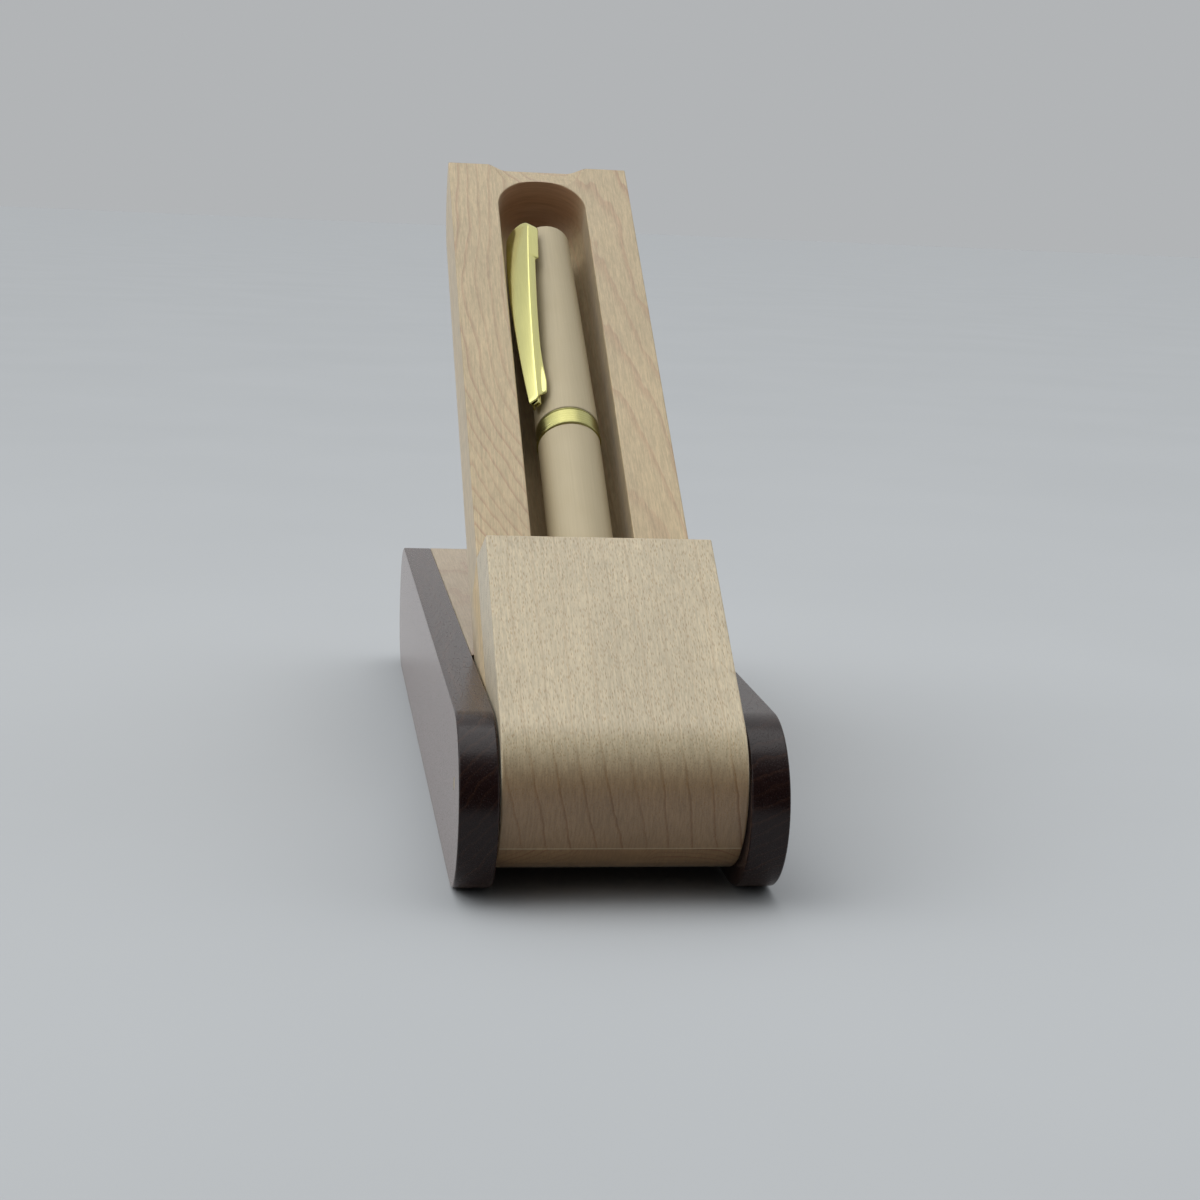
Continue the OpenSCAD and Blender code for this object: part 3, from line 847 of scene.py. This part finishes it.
class PENBOX_OT_deck_board(bpy.types.Operator):
    """Make the deck board between the panels"""

    bl_idname = "penbox.deck_board"
    bl_label = "Deck board"

    def execute(self, context):
        sizes, finish = context.scene.pen_box_case, context.scene.pen_box_finish
        bm = round_ended_bar(DECK_HIGH.x - DECK_LOW.x, PANEL_LOW.y, PANEL_HIGH.y, PANEL_HIGH.z)
        trim(bm, (0, 0, DECK_LOW.z), (0, 0, -1))
        slope = context.scene.pen_box_tray.joint_slope
        trim(bm, (0, DECK_LOW.y, DECK_HIGH.z), (0, -math.cos(slope), -math.sin(slope)))
        tidy(bm)
        ease(bm, sizes.deck_ease, 2)
        finish_piece(bm, "maple_deck_board", CASE, "case", ["deck_board"], [deck_finish(finish)])
        return {"FINISHED"}


class PENBOX_OT_pivot_pins(bpy.types.Operator):
    """Make the two brass pins"""

    bl_idname = "penbox.pivot_pins"
    bl_label = "Pivot pins"

    def execute(self, context):
        sizes, finish = context.scene.pen_box_case, context.scene.pen_box_finish
        brass = brass_finish(finish)
        for side, name in ((-1, "left_pivot_pin"), (1, "right_pivot_pin")):
            bm = rod((PIN_HIGH.z - PIN_LOW.z) / 2, side * PIN_LOW.x, side * PIN_HIGH.x,
                     (PIVOT.y - FRONT_Y, PIVOT.z))
            rims = [e for e in bm.edges if not along(e, 0)]
            round_edges(bm, rims, sizes.pin_ease, 2)
            finish_piece(bm, "brass_" + name, CASE, "case", [name], [brass])
        return {"FINISHED"}


def slot_bit(tray, top):
    """The space of the slot up to a height: straight sides, round ends and a rounded floor."""
    size = (tray.slot_w, tray.slot_end - tray.slot_start, top - tray.slot_floor)
    bm = box(size, (0, (tray.slot_start + tray.slot_end) / 2, (top + tray.slot_floor) / 2))
    round_edges(bm, [e for e in bm.edges if along(e, 2)], tray.slot_w / 2, SLOT_STEPS)
    floor = [e for e in bm.edges if all(v.co.z < tray.slot_floor + 0.01 * MM for v in e.verts)]
    round_edges(bm, floor, tray.slot_round, SLOT_FLOOR_STEPS)
    for face in bm.faces:
        face.material_index = 1
    return bm


def groove_bit(tray, edge_y, face_z):
    """The space of the finger groove, deepest at the far edge of the face."""
    bm = bmesh.new()
    flat = tray.groove_w / 2 - tray.groove_slope
    side = [(flat + tray.groove_slope * i / GROOVE_STEPS,
             -tray.groove_d * (1 + math.cos(math.pi * i / GROOVE_STEPS)) / 2) for i in range(GROOVE_STEPS + 1)]
    rim = tray.groove_w / 2
    outline = [(-x, z) for x, z in reversed(side)] + side + [(rim, 2 * MM), (-rim, 2 * MM)]
    section = bm.faces.new([bm.verts.new((x, 0, z)) for x, z in outline])
    drawn = bmesh.ops.extrude_face_region(bm, geom=[section])["geom"]
    bmesh.ops.translate(bm, vec=(0, -3 * tray.groove_run, 0),
                        verts=[v for v in drawn if isinstance(v, bmesh.types.BMVert)])
    bmesh.ops.translate(bm, vec=(0, tray.groove_run, 0), verts=bm.verts)
    slope = Matrix.Rotation(-math.atan2(tray.groove_d, tray.groove_run), 4, "X")
    bmesh.ops.transform(bm, matrix=Matrix.Translation((0, edge_y, face_z)) @ slope, verts=bm.verts)
    bmesh.ops.recalc_face_normals(bm, faces=bm.faces)
    return bm


class PENBOX_OT_pen_tray(bpy.types.Operator):
    """Make the slotted tray"""

    bl_idname = "penbox.pen_tray"
    bl_label = "Pen tray"

    def execute(self, context):
        tray, finish = context.scene.pen_box_tray, context.scene.pen_box_finish
        height = PANEL_HIGH.z
        bm = round_ended_bar(TRAY_HIGH.x - TRAY_LOW.x, PANEL_LOW.y, PANEL_HIGH.y, height)
        trim(bm, (0, 0, TRAY_LOW.z), (0, 0, -1))
        trim(bm, (0, 0, TRAY_HIGH.z), (0, 0, 1))
        bm = cut(bm, slot_bit(tray, height + 5 * MM))
        end_r = height / 2
        rise = TRAY_HIGH.z - end_r
        edge_y = PANEL_HIGH.y - end_r + math.sqrt(end_r * end_r - rise * rise)
        glued_y, glued_z = BLOCK_HIGH.y + 0.1 * MM, TRAY_HIGH.z - 0.1 * MM
        tidy(bm)
        bmesh.ops.bisect_plane(bm, geom=bm.verts[:] + bm.edges[:] + bm.faces[:], dist=CUT_ROOM,
                               plane_co=(0, BLOCK_HIGH.y, 0), plane_no=(0, 1, 0))

        def under_block(edge):
            return all(v.co.y < glued_y and v.co.z > glued_z for v in edge.verts)

        ease(bm, tray.edge, 2, under_block)
        bm = cut(bm, groove_bit(tray, edge_y, TRAY_HIGH.z))
        finish_piece(bm, "maple_pen_tray", TRAY, "tray", ["pen_tray"],
                     [maple_finish(finish), slot_finish(finish, tray)])
        return {"FINISHED"}


class PENBOX_OT_pocket_block(bpy.types.Operator):
    """Make the block that holds the pen's nose and turns on the pins"""

    bl_idname = "penbox.pocket_block"
    bl_label = "Pocket block"

    def execute(self, context):
        tray, finish = context.scene.pen_box_tray, context.scene.pen_box_finish
        bm = round_ended_bar(BLOCK_HIGH.x - BLOCK_LOW.x, PANEL_LOW.y, PANEL_HIGH.y, PANEL_HIGH.z)
        trim(bm, (0, 0, BLOCK_LOW.z), (0, 0, -1))
        trim(bm, (0, BLOCK_HIGH.y, BLOCK_LOW.z), (0, math.cos(tray.joint_slope), math.sin(tray.joint_slope)))
        bm = cut(bm, slot_bit(tray, BLOCK_LOW.z + tray.pocket_rise))
        for side in (-1, 1):
            bm = cut(bm, rod(tray.pin_hole, side * (BLOCK_HIGH.x - tray.pin_reach),
                             side * (BLOCK_HIGH.x + 5 * MM), (PIVOT.y - FRONT_Y, PIVOT.z)))
        glued_z = BLOCK_LOW.z + 0.1 * MM

        def at_glue(edge):
            return all(v.co.z < glued_z for v in edge.verts)

        tidy(bm)
        ease(bm, tray.edge, 2, at_glue)
        finish_piece(bm, "maple_pocket_block", TRAY, "tray", ["pocket_block"],
                     [block_finish(finish), slot_finish(finish, tray)])
        return {"FINISHED"}


class PENBOX_OT_pen_shells(bpy.types.Operator):
    """Make the pen's cap and barrel"""

    bl_idname = "penbox.pen_shells"
    bl_label = "Pen cap and barrel"

    def execute(self, context):
        pen, finish = context.scene.pen_box_pen, context.scene.pen_box_finish
        champagne = champagne_finish(finish)
        low, top = CAP_LOW.z, CAP_HIGH.z
        edge, lip = pen.cap_edge, 0.2 * MM
        sleeve_r = SLEEVE_HIGH.x
        cap = [(sleeve_r, low), (pen.cap_low_r - lip, low), (pen.cap_low_r, low + lip)]
        cap += arc(pen.cap_top_r - edge, top - edge, edge, 0, 90, 8)
        cap += [(0, top), (0, top - pen.cap_roof), (pen.cap_bore, top - pen.cap_roof),
                (pen.cap_bore, SLEEVE_HIGH.z), (sleeve_r, SLEEVE_HIGH.z)]
        turn = Matrix.Rotation(math.pi - pen.clip_turn, 4, "Z")
        room = 2 * pen.window_room
        window = box((pen.tab_w + room, 4 * MM, pen.tab_l + room),
                     (0, 4 * MM, top - pen.tab_drop - (pen.tab_l / 2)))
        bmesh.ops.transform(window, matrix=turn, verts=window.verts)
        bm = cut(lathe(cap), window)
        finish_piece(bm, "champagne_cap", PEN, "pen_upper", ["pen_cap"], [champagne])
        start, seat, end = BARREL_LOW.z, BAND_LOW.z, BARREL_HIGH.z
        out = BARREL_HIGH.x
        barrel = [(pen.bore_r, start), (out - lip, start), (out, start + lip), (out, seat - lip),
                  (out - lip, seat), (pen.seat_r, seat), (pen.seat_r, end), (pen.bore_r, end)]
        finish_piece(lathe(barrel), "champagne_barrel", PEN, "pen_lower", ["pen_barrel"],
                     [champagne])
        return {"FINISHED"}


class PENBOX_OT_pen_trim(bpy.types.Operator):
    """Make the pen's clip, band and nose cone"""

    bl_idname = "penbox.pen_trim"
    bl_label = "Pen clip, band and nose cone"

    # Shares of the clip's length where its round top, its shoulder and the end of its outer side begin
    DOME, SHOULDER, SIDE_END = 0.955, 0.77, 0.12
    SIDE_LIFT = 2.2 * MM

    def execute(self, context):
        pen, finish = context.scene.pen_box_pen, context.scene.pen_box_finish
        gold = gold_finish(finish)
        low, high, out = BAND_LOW.z, BAND_HIGH.z, BAND_HIGH.x
        rim, lip = 0.12 * MM, 0.5 * MM
        band = [(pen.seat_r, low), (out - rim, low), (out, low + rim), (out, low + lip - rim),
                (out - rim, low + lip)]
        rings, flat = 5, high - low - 2 * lip
        for i in range(rings):
            foot, step = low + lip + flat * i / rings, flat / rings
            band += [(out - rim, foot + 0.1 * step), (out - 0.8 * rim, foot + 0.3 * step),
                     (out - 0.8 * rim, foot + 0.7 * step), (out - rim, foot + 0.9 * step)]
        band += [(out - rim, high - lip), (out - 4 * rim, high - lip), (out - 4 * rim, high - 2 * rim),
                 (out - 2 * rim, high - rim), (out - 2 * rim, high), (pen.seat_r, high)]
        finish_piece(lathe(band), "gold_centre_band", PEN, "pen_lower", ["pen_centre_band"],
                     [turned_finish(finish)])
        self.nose_cone(pen, gold)
        self.clip(pen, gold)
        return {"FINISHED"}

    def nose_cone(self, pen, gold):
        """The cone at the pen's writing end, with its bore and its socket in the barrel."""
        shoulder, end = BARREL_LOW.z, CONE_HIGH.z
        wide, tip, guide, bore = CONE_HIGH.x, pen.tip_r, 1.2 * MM, 1.55 * MM
        lip, step = 0.15 * MM, 3.6 * MM
        cone = [(guide, 0), (tip - lip, 0), (tip, lip), (wide - lip, shoulder - lip), (wide - lip, shoulder),
                (pen.bore_r, shoulder), (pen.bore_r, end), (bore, end), (bore, step), (guide, step)]
        finish_piece(lathe(cone), "gold_nose_cone", PEN, "pen_lower", ["pen_nose_cone"], [gold])

    def clip(self, pen, gold):
        """The sheet clip: a crowned plate with turned-down sides that flare at the open tip."""
        top = CAP_HIGH.z - pen.clip_drop
        low = top - pen.clip_l
        rows = [(self.DOME * i / CLIP_ROWS, 1.0) for i in range(CLIP_ROWS + 1)]
        rows += [(self.SHOULDER - 0.003, 1.0), (self.SHOULDER + 0.003, 1.0)]
        for degrees in (15, 30, 45, 58, 70, 80):
            turn = math.radians(degrees)
            rows.append((self.DOME + (1 - self.DOME) * math.sin(turn), math.cos(turn)))
        bm = bmesh.new()
        drawn = [[bm.verts.new((x, y, low + (top - low) * share + lift))
                  for (x, y), lift in zip(self.section(pen, share, narrow), self.tip_lift(share))]
                 for share, narrow in sorted(rows)]
        for lower, upper in zip(drawn, drawn[1:]):
            for i in range(len(lower) - 1):
                bm.faces.new((lower[i], lower[i + 1], upper[i + 1], upper[i]))
        place = PEN @ Matrix.Rotation(math.pi - pen.clip_turn, 4, "Z")
        piece = finish_piece(bm, "gold_clip", place, "pen_upper", ["pen_clip"], [gold],
                             weighted=False)
        sheet = piece.modifiers.new("Sheet", "SOLIDIFY")
        sheet.thickness = pen.clip_t
        sheet.offset = -1
        smooth = piece.modifiers.new("Smooth", "SUBSURF")
        smooth.levels = smooth.render_levels = 2
        middle = CAP_HIGH.z - pen.tab_drop - pen.tab_l / 2
        tab = box((pen.tab_w, 4.6 * MM, pen.tab_l), (0, 5.5 * MM, middle))
        tongue = box((1.3 * MM, 1.0 * MM, 5 * MM), (0, 7.45 * MM, low + 2.3 * MM))
        for part in (tab, tongue):
            round_edges(part, part.edges[:], 0.15 * MM, 2)
        finish_piece(tab, "gold_clip_tab", place, "pen_upper", None, [gold])
        finish_piece(tongue, "gold_clip_tongue", place, "pen_upper", None, [gold])

    def section(self, pen, share, narrow):
        """Points across the clip at a share of its length, from its outer side's edge to its inner side's.

        The outer side is the one that is seen from the front, next to the middle of the pen."""
        half, face = self.half_width(pen, share) * narrow, self.rise(pen, share)
        crown, hem = 0.3 * MM * narrow, 0.13 * MM * narrow
        depth, fold, flare = [value * narrow for value in self.side(share)]
        lean = pen.shoulder * narrow if share > self.SHOULDER else 0
        drop = depth + lean

        def plate(x):
            return (x, face - crown * ((x - half) / (2 * half)) ** 2)

        edge = plate(-half)[1]
        outer = [(-half - lean - flare, face - drop), (-half - 0.6 * lean - 0.1 * flare, face - fold),
                 (-half, edge - 2 * hem), (-half + hem, edge)]
        across = [plate(x) for x in (-half + 3 * hem, -half / 2, 0, half / 2, half - 3 * hem, half - 1.6 * hem)]
        inner = [(half, face - 1.4 * hem), (half, face - 2.5 * hem), (half, face - fold / 2),
                 (half, face - fold + hem), (half + 0.2 * flare, face - fold), (half + flare, face - depth)]
        return outer + across + inner

    def tip_lift(self, share):
        """How far each point across the clip is drawn up the pen, as the outer side ends before the tip."""
        rest = max(0, 1 - share / self.SIDE_END)
        return [self.SIDE_LIFT * rest * part for part in (1, 0.8, 0.3, 0.05)] + [0] * 12

    def half_width(self, pen, t):
        """Half the clip's width at a share of its length."""
        wide, tip = pen.clip_w / 2, pen.clip_tip_w / 2
        shape = ((0, 0), (0.1, 0.14), (0.3, 0.41), (0.5, 0.68), (0.6, 0.8), (0.7, 0.89), (0.8, 0.95),
                 (1.0, 1.0))
        return tip + (wide - tip) * curve(shape, t)

    def side(self, t):
        """Depth of the turned-down sides, of the fold in them, and their flare, at a share of the length."""
        depth = curve(((0, 2.1), (0.1, 2.2), (0.3, 2.3), (0.6, 2.4), (0.8, 2.4), (1, 2.3)), t)
        fold = curve(((0, 1.3), (0.1, 1.6), (0.2, 1.8), (0.4, 2.0), (0.6, 2.0), (1, 1.9)), t)
        flare = curve(((0, 0.85), (0.05, 0.95), (0.1, 0.9), (0.15, 0.65), (0.2, 0.4), (0.3, 0.12),
                       (0.45, 0), (1, 0)), t)
        return depth * MM, fold * MM, flare * MM

    def rise(self, pen, t):
        """Distance of the clip's face from the pen's axis at a share of its length."""
        bow = ((0, -0.25), (0.1, 0.05), (0.2, 0.28), (0.35, 0.45), (0.55, 0.52), (0.7, 0.32), (0.8, 0.05),
               (0.9, -0.35), (1, -0.9))
        return pen.clip_rise + MM * curve(bow, t)


class PENBOX_OT_pen_inside(bpy.types.Operator):
    """Finish the pieces inside the pen"""

    bl_idname = "penbox.pen_inside"
    bl_label = "Pen inside"

    def execute(self, context):
        finish = context.scene.pen_box_finish
        brass, steel = brass_finish(finish), steel_finish(finish)
        for node, material in (("pen_twist_sleeve", brass), ("refill_point", brass), ("refill_tube", steel)):
            slots = frame["nodes"][node].data.materials
            slots.clear()
            slots.append(material)
        return {"FINISHED"}


PIECES = (PENBOX_OT_stage, PENBOX_OT_side_panels, PENBOX_OT_deck_board, PENBOX_OT_pivot_pins,
          PENBOX_OT_pen_tray, PENBOX_OT_pocket_block, PENBOX_OT_pen_shells, PENBOX_OT_pen_trim,
          PENBOX_OT_pen_inside)


class PENBOX_PT_build(bpy.types.Panel):
    """The pen box's pieces and settings"""

    bl_idname = "PENBOX_PT_build"
    bl_label = "Pen Box"
    bl_space_type = "VIEW_3D"
    bl_region_type = "UI"
    bl_category = "Pen Box"

    def draw(self, context):
        for piece in PIECES:
            self.layout.operator(piece.bl_idname)
        for name in SETTINGS:
            settings = getattr(context.scene, name)
            area = self.layout.box()
            for key in settings.bl_rna.properties.keys():
                if key not in ("rna_type", "name"):
                    area.prop(settings, key)


SETTINGS = {"pen_box_case": PenBoxCase, "pen_box_tray": PenBoxTray, "pen_box_pen": PenBoxPen,
            "pen_box_finish": PenBoxFinish, "pen_box_stage": PenBoxStage}


def register():
    """Registers the classes and hangs the settings on the scene."""
    for cls in (*SETTINGS.values(), *PIECES, PENBOX_PT_build):
        bpy.utils.register_class(cls)
    for name, cls in SETTINGS.items():
        setattr(bpy.types.Scene, name, PointerProperty(type=cls))


def unregister():
    """Takes the settings and the classes away again."""
    for name in SETTINGS:
        delattr(bpy.types.Scene, name)
    for cls in reversed((*SETTINGS.values(), *PIECES, PENBOX_PT_build)):
        bpy.utils.unregister_class(cls)


def main():
    """Builds every piece in order."""
    register()
    for piece in PIECES:
        getattr(bpy.ops.penbox, piece.bl_idname.split(".")[1])()


if __name__ == "__main__":
    main()
